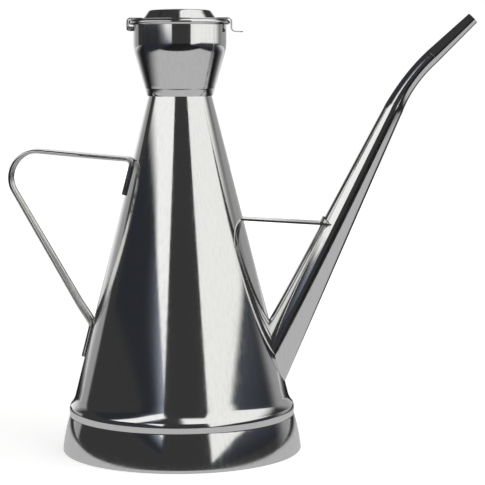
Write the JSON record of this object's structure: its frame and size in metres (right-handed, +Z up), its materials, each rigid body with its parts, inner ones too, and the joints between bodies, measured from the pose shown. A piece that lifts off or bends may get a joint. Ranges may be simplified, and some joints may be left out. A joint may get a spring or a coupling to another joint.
{
  "type": "oil can with spout",
  "caption": "Conical sheet-steel oil can with a strap handle, a hinged lid over a funnel neck, and a long bent pouring spout held by a brace.",
  "frame": {"origin": "on the body's axis, in the plane of the foot ring that the can stands on", "axes": "+Z up along the body's axis; +X towards the spout; the handle and the lid's hinge are on -X; +Y completes the right-handed frame"},
  "size_m": [0.2326, 0.12, 0.2207],
  "materials": {
    "polished_sheet": "mirror polished stainless steel sheet",
    "polished_strip": "polished stainless steel strip",
    "plain_steel": "plain rolled steel"
  },
  "bodies": {
    "can": {"body_cone": "polished_sheet", "base_skirt": "polished_sheet", "bottom_plate": "plain_steel", "neck_funnel": "polished_sheet", "hinge_lug": "plain_steel", "hinge_pin": "plain_steel", "handle_strap": "polished_strip", "spout_tube": "polished_sheet", "spout_tip": "polished_sheet", "brace_strip": "polished_strip"},
    "lid": {"lid_shell": "polished_sheet", "lid_hinge_leaf": "polished_strip", "lid_thumb_tab": "polished_strip"}
  },
  "joints": [
    {"name": "lid_hinge", "type": "hinge", "parent": "can", "child": "lid", "pos_m": [-0.0248, 0, 0.2108], "axis": [0, -1, 0], "range_deg": [0, 120]}
  ]
}
